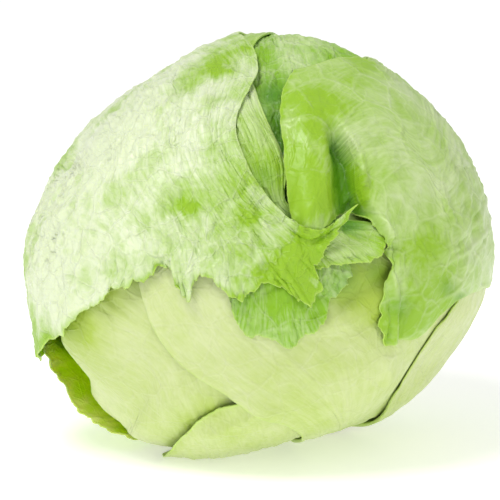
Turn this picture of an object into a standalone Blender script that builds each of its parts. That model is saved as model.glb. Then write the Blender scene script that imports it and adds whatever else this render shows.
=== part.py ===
"""A head of iceberg lettuce, as cut and trimmed, resting on its butt and its lowest leaves.

The head is built as it grows. A round heart stands on a short stem, and ten wrapper leaves are laid over
it from the inside out. Every leaf is one sheet: it starts at the stem, spreads in a fan, clears whatever
lies under it and ends in a waved margin. +Z is up, -Y is the front, and the origin is under the middle
of the head, on the surface that it rests on.
"""

import math

import bmesh
import bpy
import numpy as np
from mathutils import Vector
from mathutils.bvhtree import BVHTree

MM = 0.001

# Driving dimensions, in metres. The head's own size is that of the skin on which its outer leaves lie
HEAD_WIDTH = 0.168
HEAD_DEPTH = 0.160
HEAD_HEIGHT = 0.149
SETTLE = 0.0042  # how much of the round underside is pressed flat
RIB_THICK = 0.0018  # a leaf at its base
BLADE_THICK = 0.0009  # a leaf at its margin
LAY_GAP = 0.0006  # air between one leaf and the next
HEART_DEPTH = 0.0120  # how far the heart lies inside the outer skin
FLOOR_LEVEL = 0.0020  # where the inside of the lowest leaf lies over the surface

# The stem is upright and is cut off level with the surface
STEM_X = 0.020
STEM_Y = 0.025
STEM_RADIUS = 0.0155
STEM_LENGTH = 0.0118
LEAF_RING = 0.0168  # the circle on which the leaves leave the stem

# The deep fold of the right hood: mm below the middle, and how far right its two sides are there
POCKET_DOWN = (-46, -40, -31, -17, -11, 0)
POCKET_LEFT = (22, 23, 24, 25, 26, 27)
POCKET_RIGHT = (25, 29, 34, 37, 41, 47)

# The outlines below are measured across and up, as seen from the front at this height and distance
VIEW_ELEVATION = math.radians(12)
VIEW_DISTANCE = 1.6

HALF = np.array([HEAD_WIDTH, HEAD_DEPTH, HEAD_HEIGHT]) / 2
CENTRE = np.array([0.0, 0.0, HEAD_HEIGHT / 2 - SETTLE])
ACROSS = np.array([1.0, 0.0, 0.0])
UP = np.array([0.0, math.sin(VIEW_ELEVATION), math.cos(VIEW_ELEVATION)])
AWAY = np.array([0.0, math.cos(VIEW_ELEVATION), -math.sin(VIEW_ELEVATION)])


def front(across, up, lift):
    """A place at this many mm across and up as seen from the front, lift mm off the skin."""
    seen = ACROSS * across * MM + UP * up * MM
    eye = -AWAY * VIEW_DISTANCE
    ray = (seen - eye) / HALF
    start = eye / HALF
    square, half_linear, rest = ray @ ray, ray @ start, start @ start - 1
    spread = max(half_linear**2 - square * rest, 0.0)
    hit = start + ray * (-half_linear - math.sqrt(spread)) / square
    return np.append(hit / np.linalg.norm(hit), lift * MM)


def around(bearing, elevation, lift):
    """A place by its bearing, from the front towards the right, and its height angle, both in degrees."""
    a, e = math.radians(bearing), math.radians(elevation)
    return np.array([math.sin(a) * math.cos(e), -math.cos(a) * math.cos(e), math.sin(e), lift * MM])


def under(x, y, lift):
    """A place on the underside of the head, by its position in mm as seen from above."""
    x, y = x * MM / HALF[0], y * MM / HALF[1]
    return np.array([x, y, -math.sqrt(1 - x * x - y * y), lift * MM])


def ring(bearing, lift):
    """A place on the circle round the stem."""
    a = math.radians(bearing)
    grow = MM * (1 + lift * MM / CENTRE[2])
    return under((STEM_X + LEAF_RING * math.sin(a)) / grow, (STEM_Y - LEAF_RING * math.cos(a)) / grow, lift)


# Where the head is fuller or flatter than an egg: the place, the share of the radius, the spread in degrees
SWELLS = (
    (front(-76, 29, 0), -0.085, 22),
    (front(-48, 62, 0), -0.070, 25),
    (front(26, 73, 0), 0.038, 20),
    (front(80, 20, 0), -0.020, 16),
    (front(-55, -55, 0), 0.050, 20),
    (front(-32, -72, 0), 0.025, 14),
    (front(14, -74, 0), -0.065, 18),
    (front(43, -64, 0), -0.030, 14),
    (front(66, -44, 0), -0.085, 17),
)


def skin(places):
    """World positions of (..., 4) places: a direction from the middle of the head, then a lift in metres."""
    aim = places[..., :3] / np.linalg.norm(places[..., :3], axis=-1, keepdims=True)
    swell = 1.0
    for spot, share, spread in SWELLS:
        angle = np.arccos(np.clip(aim @ spot[:3], -1, 1))
        swell = swell + share * np.exp(-((angle / math.radians(spread)) ** 2))
    out = aim * HALF * np.asarray(swell)[..., None]
    soft = 1.5 * MM
    over_floor = out[..., 2] + CENTRE[2] - FLOOR_LEVEL
    pressed = FLOOR_LEVEL - CENTRE[2] + soft * np.logaddexp(0, over_floor / soft)
    shrink = np.where(over_floor < 8 * MM, pressed / np.minimum(out[..., 2], -MM), 1.0)
    out = out * shrink[..., None]
    radius = np.linalg.norm(out, axis=-1, keepdims=True)
    return CENTRE + out * (1 + places[..., 3:] / radius)


def spline(knots, at):
    """The smooth curve through the knots, a Catmull-Rom, for at from 0 to 1."""
    before, after = 2 * knots[:1] - knots[1:2], 2 * knots[-1:] - knots[-2:-1]
    padded = np.concatenate([before, knots, after])
    place = np.clip(at, 0, 1) * (len(knots) - 1)
    start = np.minimum(place.astype(int), len(knots) - 2)
    share = (place - start).reshape((-1,) + (1,) * (knots.ndim - 1))
    p0, p1, p2, p3 = (padded[start + k] for k in range(4))
    return 0.5 * (
        2 * p1
        + (p2 - p0) * share
        + (2 * p0 - 5 * p1 + 4 * p2 - p3) * share**2
        + (3 * p1 - p0 - 3 * p2 + p3) * share**3
    )


def ramp(value, low, high):
    """0 below low, 1 above high, and a smooth step between."""
    share = np.clip((value - low) / (high - low), 0, 1)
    return share * share * (3 - 2 * share)


def crease(positions, start, end, width, depth):
    """How far a fold raises each position: a groove (depth below 0) or a pleat from start to end, in mm."""
    a, b = skin(start[None])[0], skin(end[None])[0]
    along = np.clip((positions - a) @ (b - a) / ((b - a) @ (b - a)), 0, 1)
    off = np.linalg.norm(positions - (a + along[..., None] * (b - a)), axis=-1)
    return depth * MM * ramp(along, -0.1, 0.3) * np.exp(-((off / (width * MM)) ** 2))


def pocket(positions, depth):
    """How far the deep fold sinks each position: it slopes in from the left, and more steeply from the right."""
    seen = positions - CENTRE
    across, up = seen @ ACROSS / MM, seen @ UP / MM
    left, right = np.interp(-up, POCKET_DOWN, POCKET_LEFT), np.interp(-up, POCKET_DOWN, POCKET_RIGHT)
    share = (across - left) / (right - left)
    hollow = ramp(share, -0.3, 0.5) * (1 - ramp(share, 0.55, 1.25))
    return -depth * MM * hollow * ramp(-up, POCKET_DOWN[0], POCKET_DOWN[0] + 12) * ramp(-(seen @ AWAY), 0, 0.01)


def frill(u, v, waves, height, phase):
    """The wave of a margin: it grows over the last third of the blade, and no two waves are the same."""
    swing = 0.7 * np.sin(2 * math.pi * waves * u + phase) + 0.3 * np.sin(2 * math.pi * waves * 1.63 * u + 2 * phase)
    return height * MM * ramp(v, 0.7, 1.0) * swing


def blur(grid):
    """Each value of a grid averaged with its four neighbours."""
    edged = np.pad(grid, 1, mode="edge")
    return (edged[1:-1, 1:-1] + edged[:-2, 1:-1] + edged[2:, 1:-1] + edged[1:-1, :-2] + edged[1:-1, 2:]) / 5


def spread(corners, faces):
    """The corners of some triangles, the middles of their sides and their own middles."""
    c = corners[faces]
    return np.concatenate([c, (c + np.roll(c, 1, axis=1)) / 2, c.mean(axis=1, keepdims=True)], axis=1)


def drape(points, faces, laid):
    """The sheet pushed out from the middle of the head until it clears everything that is laid already."""
    out = points.reshape(-1, 3) - CENTRE
    radius = np.linalg.norm(out, axis=-1)
    out = out / radius[:, None]
    push = np.zeros(len(radius))
    under = BVHTree.FromPolygons(laid["corners"], laid["faces"])
    probes = np.unique(spread(np.array(laid["corners"]), np.array(laid["faces"])).reshape(-1, 3), axis=0) - CENTRE
    reach = np.linalg.norm(probes, axis=-1)
    aims = [Vector(p) for p in probes / reach[:, None]]
    middle = Vector(CENTRE)
    for turn in range(8):
        flat = CENTRE + out * (radius + push)[:, None]
        deeper = np.zeros(len(push))
        for face, spots in zip(faces, spread(flat, faces) - CENTRE):
            for spot in spots:
                far = np.linalg.norm(spot)
                aim = Vector(spot / far)
                hit = under.ray_cast(middle + aim * HEAD_WIDTH, -aim)[0]
                if hit is not None:
                    deeper[face] = np.maximum(deeper[face], (hit - middle).length + LAY_GAP - far)
        sheet = BVHTree.FromPolygons([Vector(p) for p in flat], faces.tolist())
        for aim, far in zip(aims, reach):
            _, _, face, distance = sheet.ray_cast(middle, aim)
            if face is not None and far + LAY_GAP > distance:
                deeper[faces[face]] = np.maximum(deeper[faces[face]], far + LAY_GAP - distance)
        if deeper.max() < 0.02 * MM:
            break
        push = push + deeper
        for _ in range(3 if turn == 0 else 1):
            push = np.maximum(push, blur(push.reshape(points.shape[:2])).ravel())
    return (CENTRE + out * (radius + push)[:, None]).reshape(points.shape)


def new_material(name, colour, roughness):
    """A waxy leaf surface in one colour."""
    material = bpy.data.materials.new(name)
    material.use_nodes = True
    shader = material.node_tree.nodes["Principled BSDF"]
    shader.inputs["Base Color"].default_value = (*colour, 1)
    shader.inputs["Roughness"].default_value = roughness
    return material


def new_object(name, mesh, material, collection):
    """A mesh with its material, smooth, in the head's collection."""
    mesh.materials.append(material)
    mesh.shade_smooth()
    thing = bpy.data.objects.new(name, mesh)
    collection.objects.link(thing)
    return thing


def remember(thing, laid):
    """Adds a finished solid to what later leaves have to clear."""
    bpy.context.view_layer.update()
    mesh = thing.evaluated_get(bpy.context.evaluated_depsgraph_get()).to_mesh()
    mesh.calc_loop_triangles()
    first = len(laid["corners"])
    laid["corners"] += [tuple(p.co) for p in mesh.vertices]
    laid["faces"] += [tuple(first + k for k in face.vertices) for face in mesh.loop_triangles]


def leaf(name, material, head, laid, rows, steps, columns, waves, creases=(), sunk=0.0):
    """Lays one leaf. Each row is a line across the blade, from the stem out to the margin.

    steps gives the bands of faces between one row and the next. creases and waves shape the blade, and sunk is
    how deep it follows the fold of the right hood, in mm.
    """
    u = np.linspace(0, 1, columns + 1)
    stations = np.concatenate([[0.0]] + [i + np.arange(1, n + 1) / n for i, n in enumerate(steps)])
    v = stations / (len(rows) - 1)
    cage = np.stack([spline(np.array(row), u) for row in rows])
    places = spline(cage, v)
    grid_v, grid_u = np.meshgrid(v, u, indexing="ij")
    flat = skin(places * np.array([1, 1, 1, 0]))
    for start, end, width, depth in creases:
        places[..., 3] += crease(flat, start, end, width, depth)
    places[..., 3] += pocket(flat, sunk)
    places[..., 3] += frill(grid_u, grid_v, *waves)

    sheet = bmesh.new()
    bmesh.ops.create_grid(sheet, x_segments=columns, y_segments=len(v) - 1, size=1.0)
    sheet.verts.ensure_lookup_table()
    spots = [
        (round((p.co.y + 1) / 2 * (len(v) - 1)), round((p.co.x + 1) / 2 * columns)) for p in sheet.verts
    ]
    bmesh.ops.triangulate(sheet, faces=sheet.faces[:])
    faces = [[spots[p.index][0] * (columns + 1) + spots[p.index][1] for p in face.verts] for face in sheet.faces]
    faces = np.array(faces)
    points = drape(skin(places), faces, laid)
    thick = BLADE_THICK + (RIB_THICK - BLADE_THICK) * (1 - ramp(grid_v, 0.0, 0.55))
    points[..., 2] = np.maximum(points[..., 2], thick)
    for p, spot in zip(sheet.verts, spots):
        p.co = points[spot]
    sheet.normal_update()
    if sum(face.normal.dot(face.calc_center_median() - Vector(CENTRE)) for face in sheet.faces) < 0:
        bmesh.ops.reverse_faces(sheet, faces=sheet.faces[:])

    mesh = bpy.data.meshes.new(name)
    sheet.to_mesh(mesh)
    sheet.free()
    blade = new_object(name, mesh, material, head)
    rib = blade.vertex_groups.new(name="rib")
    for index, (row, _) in enumerate(spots):
        rib.add([index], float(1 - ramp(v[row], 0.0, 0.55)), "REPLACE")
    solid = blade.modifiers.new("blade", "SOLIDIFY")
    solid.thickness = RIB_THICK
    solid.offset = 1
    solid.vertex_group = rib.name
    solid.thickness_vertex_group = BLADE_THICK / RIB_THICK
    remember(blade, laid)


def heart_leaves(material, head, laid):
    """The dense middle of the head, with the edges of its folded leaves raised in a slow spiral."""
    ball = bmesh.new()
    bmesh.ops.create_uvsphere(ball, u_segments=26, v_segments=16, radius=1.0)
    for p in ball.verts:
        aim = np.array(p.co.normalized())
        turn = math.atan2(aim[0], -aim[1])
        step = np.array((1.5 * turn / math.pi + aim[2] * 0.8) % 1.0)
        relief = 1.4 * MM * math.sqrt(max(0.0, 1 - aim[2] ** 2)) * (ramp(step, 0.0, 0.8) - ramp(step, 0.8, 1.0))
        p.co = skin(np.append(aim, relief - HEART_DEPTH))
    mesh = bpy.data.meshes.new("heart_leaves")
    ball.to_mesh(mesh)
    ball.free()
    remember(new_object("heart_leaves", mesh, material, head), laid)


def stem_butt(material, head):
    """The short stem under the heart: it widens into the leaf bases over its cut face."""
    profile = (
        (0.0, 0.0), (0.80, 0.0), (0.85, 0.04), (0.92, 0.20), (1.0, 0.45),
        (1.0, 0.80), (0.93, 0.95), (0.80, 1.0), (0.0, 1.0),
    )
    mesh = bpy.data.meshes.new("stem_butt")
    corners = [(STEM_RADIUS * r, 0.0, STEM_LENGTH * z) for r, z in profile]
    mesh.from_pydata(corners, [(i, i + 1) for i in range(len(corners) - 1)], [])
    stem = new_object("stem_butt", mesh, material, head)
    stem.location = (STEM_X, STEM_Y, 0)
    turn = stem.modifiers.new("turn", "SCREW")
    turn.axis = "Z"
    turn.steps = 32
    turn.render_steps = 32
    turn.use_merge_vertices = True
    turn.merge_threshold = 0.00001
    turn.use_normal_calculate = True


for old in list(bpy.data.objects):
    bpy.data.objects.remove(old)
head = bpy.data.collections.new("iceberg_lettuce")
bpy.context.scene.collection.children.link(head)
pale = new_material("pale_leaf", (0.62, 0.74, 0.38), 0.45)
green = new_material("green_leaf", (0.42, 0.62, 0.14), 0.42)
inner = new_material("inner_leaf", (0.30, 0.52, 0.05), 0.5)
butt = new_material("cut_stem", (0.72, 0.72, 0.50), 0.55)
laid = {"corners": [], "faces": []}
heart_leaves(inner, head, laid)
stem_butt(butt, head)

# The left leaf runs from the stem under the head and up its lower left
leaf(
    "left_leaf", pale, head, laid,
    [
        [ring(-10, -8), ring(-40, -8.5), ring(-70, -9), ring(-100, -9.5)],
        [under(14, -6, -7), under(-2, 1, -7), under(-13, 13, -7.5), under(-14, 28, -8.5)],
        [front(6, -58, -5.5), under(-14, -24, -3), under(-28, -6, -3), under(-30, 18, -5)],
        [front(-8, -42, -5), front(-28, -58, -1.5), under(-42, -18, -1), under(-42, 12, -4)],
        [front(-18, -24, -5), front(-38, -40, -2.5), front(-43, -55, -2.5), around(-88, -54, -4)],
        [
            front(-30, -6, -6), front(-50, -12, -4), front(-62, -19, -2), front(-68, -26, -0.5), front(-69, -33, -0.5),
            front(-63.5, -42, -3), front(-59.5, -49, -4), around(-88, -50, -5),
        ],
    ],
    steps=(2, 3, 3, 3, 3), columns=17, waves=(3.5, 0.7, 0.4),
)

# The edge leaf wraps the left side and stands off, so that the inside of its margin shows
leaf(
    "edge_leaf", green, head, laid,
    [
        [ring(-60, -6), ring(-100, -7), ring(-140, -9.5)],
        [under(-10, 12, -5), under(-16, 30, -6), under(-6, 48, -9)],
        [under(-25, 2, -2.5), under(-44, 20, -4.5), around(-155, -46, -8)],
        [under(-36, -6, -1), around(-82, -50, -1), around(-104, -38, -3.5), around(-145, -34, -7)],
        [
            front(-46, -68, 0.5), front(-51.5, -65, 1.5), front(-56, -61, 1.5), front(-60, -59, 2.5),
            front(-63.5, -55, 2.5), front(-67, -49, 1.5), front(-71, -42, 1.5), front(-75, -34, 0.5),
            around(-94, -14, -2.5), around(-112, -12, -4), around(-136, -20, -6.5),
        ],
    ],
    steps=(2, 2, 3, 4), columns=20, waves=(7, 0.8, 1.3),
)

# The bottom leaf lies over the left leaf and carries the head at its low front left
leaf(
    "bottom_leaf", pale, head, laid,
    [
        [ring(-20, -4.5), ring(-50, -4.5), ring(-80, -4.5)],
        [under(18, -5, -3.5), under(-3, 2, -2.5), under(-12, 16, -3)],
        [under(18, -28, -2.5), under(-10, -16, 1), under(-22, 4, 0)],
        [front(18, -62, -2.5), front(-6, -66.5, 0.5), front(-19, -71, 2.5), under(-27, -9, 2)],
        [
            front(20, -52, -3), front(2, -54, -2), front(-8.5, -56, -1), front(-15.5, -58.5, -0.5),
            front(-21, -61, 0), front(-26, -65, 1), front(-29.5, -68, 2), front(-34, -74, 2.5),
        ],
    ],
    steps=(2, 3, 3, 3), columns=14, waves=(3, 0.5, 2.0),
)

# The front leaf sweeps up from the low right, pale, over the left and bottom leaves
leaf(
    "front_leaf", pale, head, laid,
    [
        [ring(-50, -1), ring(-10, -2), ring(25, -3), ring(60, -3)],
        [under(12, -8, -1), under(24, -12, -2), under(40, -8, -3), under(54, 10, -4)],
        [front(15, -67, -1), front(28, -63.5, -1), around(42, -50, -1.5), around(74, -46, -3.5)],
        [front(-4, -57, -1), front(16, -50, -1), front(44, -42, -1.5), around(76, -32, -4)],
        [front(-27.7, -42, -1), front(-4, -32, -1.5), front(34, -28, -1.5), around(76, -18, -4.5)],
        [front(-38, -29, -1.5), front(-18, -14, -2), front(24, -12, -2.5), around(74, -6, -5)],
        [front(-44, -13, -3), front(-36, -2, -3), front(-10, 2, -4), front(24, 3, -5), front(70, 2, -6)],
    ],
    steps=(2, 3, 3, 4, 3, 2), columns=19, waves=(2, 0.4, 0.0),
    creases=((front(46, -38, 0), front(48, -48, 0), 3.5, 1.5),),
)

# The right leaf closes the lower right, with its edge over the front leaf
leaf(
    "right_leaf", pale, head, laid,
    [
        [ring(30, -5.5), ring(60, -6), ring(95, -6.5)],
        [under(37, 3, -4), under(45, 13, -4.5), under(46, 27, -5.5)],
        [around(61, -47, -2), around(76, -46, -0.5), around(92, -45, -2), around(110, -43, -4)],
        [around(54, -36, -3), around(72, -32, -0.5), around(92, -29, -2), around(114, -28, -4)],
        [around(51, -26, -3.5), around(69, -19, -1.5), around(92, -12, -2), around(118, -12, -4)],
        [around(54, -16, -4), around(64, -7, -4), around(78, 3, -4), around(98, 8, -5), around(120, 4, -5)],
    ],
    steps=(2, 3, 3, 3, 2), columns=15, waves=(3, 0.5, 1.0),
)

# The crown leaf comes over the top from the back. Its bright tip shows under the left hood
leaf(
    "crown_leaf", green, head, laid,
    [
        [ring(-150, -7.5), ring(-185, -7.5), ring(140, -7.5)],
        [around(-168, -42, -7), around(172, -40, -7.5), around(152, -38, -7.5)],
        [around(-155, 5, -7), around(180, 8, -7), around(150, 10, -7)],
        [around(-140, 46, -6), around(180, 52, -5), around(140, 50, -6)],
        [around(-95, 66, -3), around(-160, 84, -1.5), around(125, 80, -1.5), around(110, 62, -3)],
        [front(-28, 56, -5), front(-2, 62, -4), front(20, 66, -2), front(52, 54, -5)],
        [front(-24, 34, -7), front(0, 36, -8.5), front(22, 38, -9), front(46, 36, -7)],
        [front(-19, 12, -6), front(6, 13, -8), front(32, 14, -8)],
        [front(-16, 1, -5), front(-4, -11, -3), front(8, -16, -2), front(20, -14, -3), front(32, -2, -5)],
        [
            front(-12.5, -9, -4), front(-10.5, -17.5, -2.5), front(-8, -26, -1.5), front(-4, -31, -1),
            front(3.5, -32, -0.5), front(11, -35.5, 0.5), front(16, -31.5, 0), front(22, -28, 0),
            front(25.6, -19, -1), front(31, -14, -2), front(34, -8, -3),
        ],
    ],
    steps=(2, 3, 3, 3, 3, 3, 3, 2, 3), columns=18, waves=(5, 0.7, 0.6),
    sunk=2.0,
)

# The inner hood leaf lies in the cleft between the two hoods and ends in a small frilled flap
leaf(
    "inner_hood_leaf", green, head, laid,
    [
        [ring(-170, -5), ring(178, -5), ring(165, -5)],
        [around(-170, -38, -6), around(180, -38, -6), around(170, -38, -6)],
        [around(-168, 15, -5), around(180, 16, -5), around(168, 15, -5)],
        [around(-160, 58, -4), around(178, 60, -3.5), around(165, 60, -4)],
        [front(-30, 62, -3), front(-18, 68, -2), front(-3, 68.5, -2)],
        [front(-22, 50, -4), front(-9, 52, -1.5), front(1, 52, -3.5)],
        [front(-14, 32, -5), front(0, 33, -2.5), front(10, 32, -4.5)],
        [front(-4, 14, -5), front(6, 15, -4), front(12, 15.5, -5)],
        [front(8, 3, -6), front(22, 5, -8.5), front(35, 11, -8.5)],
        [
            front(15, -6, -3), front(21, -7.5, -2.5), front(26, -6.5, -2), front(31, -6, -1.5),
            front(36, -5.5, -1), front(40, -5, -1), front(44, -2, -1), front(46, 2.7, -1.5), front(46, 9, -3),
        ],
    ],
    steps=(2, 3, 3, 3, 3, 3, 3, 3, 3), columns=12, waves=(3, 0.8, 0.0),
    creases=((front(-13, 62, 0), front(6, 16, 0), 2.5, -1.2),),
)

# The right hood climbs the right side and folds down over the front, with a deep valley and a rolled edge
leaf(
    "right_hood", green, head, laid,
    [
        [ring(75, -3), ring(98, -3), ring(120, -3), ring(140, -3)],
        [around(112, -48, -2.5), around(130, -45, -2.5), around(150, -42, -3), around(164, -38, -4)],
        [around(104, -22, -1.5), around(122, -12, -1.5), around(145, -5, -2), around(165, 0, -3)],
        [around(94, -11, -1), around(108, 15, -1), around(135, 30, -1.5), around(160, 36, -2.5)],
        [front(76, -17, -1), front(78, 20, -1), around(118, 48, -1.5), around(140, 52, -2)],
        [
            front(69, -22, -1), front(70, -2, -0.5), front(67, 18, -0.5), front(60, 36, -0.5),
            front(48, 55, -0.5), around(102, 62, -1.5),
        ],
        [
            front(58, -32, -0.5), front(62, -8, 0), front(59, 26, 0), front(45, 44, 0), front(35, 56, 0),
            front(34, 66.5, -1),
        ],
        [
            front(51, -33, -0.5), front(54, -18, 0), front(56, 2, 0), front(51, 24, 0.5), front(39, 34, 0.5),
            front(28, 36, 0), front(23, 42, 0.5), front(22, 54, 0.5), front(25, 66, -1),
        ],
        [
            front(48, -34, 0), front(49, -18, 0), front(51, -1, 0), front(43, 21, 0.5), front(30, 22, -1),
            front(20, 19, 1), front(16, 32, 0.5), front(15, 50, 0.5), front(19, 64.5, -1),
        ],
        [
            front(45, -35, 0.5), front(43, -27, 0.5), front(44, -18, 0), front(48, -8, 0), front(46, 1, 0),
            front(43, 7, 0.5), front(38, 14, 0), front(31, 12.5, -1), front(26, 9, 0), front(19, 4, 1),
            front(13, 8, -0.5), front(11, 18, -2.5), front(9.5, 34, -2.5), front(8, 50, -2),
            front(9.5, 58, -2), front(13, 64, -2),
        ],
    ],
    steps=(2, 3, 2, 2, 2, 2, 2, 3, 4), columns=30, waves=(5, 0.4, 0.3),
    creases=(
        (front(54, -12, 0), front(46, -33, 0), 3.5, -3.5),
        (front(16, 58, 0), front(18, 8, 0), 4.0, 1.5),
    ),
    sunk=9.0,
)

# The left hood comes over the back and the top and covers the left. Its ragged margin hangs over the front
leaf(
    "left_hood", pale, head, laid,
    [
        [ring(-120, -3), ring(-138, -3), ring(-156, -3), ring(-176, -3), ring(160, -3)],
        [
            around(-112, -56, -2.5), around(-146, -49, -2.5), around(-167, -44, -2.5), around(174, -40, -2),
            around(160, -38, -1),
        ],
        [
            around(-119, -46, -2), around(-140, -19, -1.5), around(-160, -8, -1.5), around(180, -2, -1.5),
            around(162, -2, -0.5),
        ],
        [
            around(-121, -40.5, -1.5), around(-132, 8, -1), around(-150, 28, -1), around(-175, 38, -1),
            around(162, 42, -0.5),
        ],
        [
            around(-118, -38, -1.5), around(-120, 14, -1), around(-116, 45, -1), around(-124, 66, -1),
            around(-160, 78, -1),
        ],
        [
            around(-115, -36.5, -1.5), around(-102, 6, -1), front(-64, 30, -1), front(-48, 47, -0.5),
            front(-31, 57, -0.5), front(-12, 64, -0.5), front(0, 64, -0.5),
        ],
        [
            around(-112, -36, -1.5), around(-94, 0, -0.5), front(-58, 18, 0), front(-38, 30, 0),
            front(-21, 38, 0), front(-8, 43, -0.5),
        ],
        [
            around(-109, -36, -1.5), around(-90, -9, -0.5), front(-60, 3, 0), front(-40, 12, 0),
            front(-23, 15, 0), front(-9, 18, 0.5), front(1.5, 20, 0),
        ],
        [
            around(-106.5, -36.5, -1.5), around(-87, -18, 0), front(-59, -10, 0), front(-41, 0, 0.5),
            front(-25, 0, 0.5), front(-7, -3, 0.5), front(9, 0, 0.5), front(19, 6, 0.5),
        ],
        [
            around(-104, -38, -1.5), around(-99, -35.5, -0.5), around(-94, -32.5, 1), around(-89, -30, 3),
            around(-84, -28.5, 4.5), around(-79.5, -28, 4), front(-71, -32, 1.5), front(-65, -28, 1),
            front(-60, -22, 1), front(-54, -18, 1), front(-51.5, -13.5, 1), front(-47, -14, 1),
            front(-42, -11.5, 0.5), front(-35, -8, 0.5), front(-30, -8, 0.5), front(-27.5, -15, 1),
            front(-24.5, -19.5, 1.5), front(-22, -11, 0.5), front(-17.5, -11, 0.5), front(-11.5, -15, 1),
            front(-5, -19, 1.5), front(-1, -13, 0.5), front(8, -14, 0.5), front(14, -18, 1),
            front(18, -19.5, 1.5), front(21.5, -14, 1), front(20, -7, 1), front(24, -1, 1),
            front(29, 7, 1), front(34, 15, 2),
        ],
    ],
    steps=(2, 2, 2, 2, 2, 2, 2, 2, 3), columns=40, waves=(10, 0.6, 0.0),
    creases=(
        (front(-30, 62, 0), front(-20, 12, 0), 4.0, -1.5),
        (front(-40, 58, 0), front(-34, 8, 0), 5.0, 1.2),
        (front(-16, 54, 0), front(-4, 20, 0), 4.0, 1.5),
    ),
)

# The back leaf is the lowest wrapper at the back, and carries the head at its low back left
leaf(
    "back_leaf", pale, head, laid,
    [
        [ring(-130, 0), ring(-175, 0), ring(160, 0), ring(115, 0)],
        [under(-10, 38, 3.8), under(8, 52, 2), around(155, -44, 0), around(133, -42, 0)],
        [under(-32, 38, 3.6), around(-168, -42, 1.5), around(157, -31, 0), around(135, -32, 0)],
        [around(-132, -38, 1.5), around(-162, -20, 0.5), around(162, -12, 0.5), around(137, -20, 0.5)],
        [
            around(-127, -18, 1), around(-142, -2, 1), around(-162, 6, 1.5), around(180, 10, 1.5),
            around(162, 9, 1.5), around(148, 1, 1), around(138, -8, 1),
        ],
    ],
    steps=(2, 3, 3, 4), columns=18, waves=(5, 1.0, 0.9),
)
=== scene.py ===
"""A head of iceberg lettuce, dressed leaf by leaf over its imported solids, on a pale floor."""

import math
import random

import bpy
import numpy as np
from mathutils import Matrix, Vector, noise
from mathutils.bvhtree import BVHTree


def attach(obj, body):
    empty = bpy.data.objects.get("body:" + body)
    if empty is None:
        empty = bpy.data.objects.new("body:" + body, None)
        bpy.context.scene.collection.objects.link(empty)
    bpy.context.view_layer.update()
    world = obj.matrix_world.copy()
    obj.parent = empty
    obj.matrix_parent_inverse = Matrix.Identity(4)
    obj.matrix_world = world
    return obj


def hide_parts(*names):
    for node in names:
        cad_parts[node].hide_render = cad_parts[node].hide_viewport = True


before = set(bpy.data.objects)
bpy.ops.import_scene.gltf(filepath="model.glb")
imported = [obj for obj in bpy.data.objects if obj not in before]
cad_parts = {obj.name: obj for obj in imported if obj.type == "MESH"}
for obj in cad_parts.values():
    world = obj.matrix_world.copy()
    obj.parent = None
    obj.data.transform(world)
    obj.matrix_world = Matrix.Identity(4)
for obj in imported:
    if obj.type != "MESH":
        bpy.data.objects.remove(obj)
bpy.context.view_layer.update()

# The heart: the dense round middle of the head, folded leaves packed tight. It grows on the stem and only
# shows through the gaps between the wrapper leaves, so its solid stays and gets a full green: painted shade,
# for leaf seen down in those gaps.
PALE = (0.74, 0.84, 0.51)
FRESH = (0.30, 0.53, 0.020)
# painted shade: the colour given to leaf down in hollows and in the shadow of other leaves
SHADE_GREEN = (0.07, 0.25, 0.002)
RIM = (0.55, 0.78, 0.16)
WIDE_VEIN, FINE_VEIN = 0.065, 0.12
FINE_TO_WIDE = 2.7
RELIEF_DEPTH = 0.0006
GLOW_REACH = (0.9, 1.0, 0.35)
GLOW_DEPTH = 0.0022
WAX_SHINE = 0.38


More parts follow.
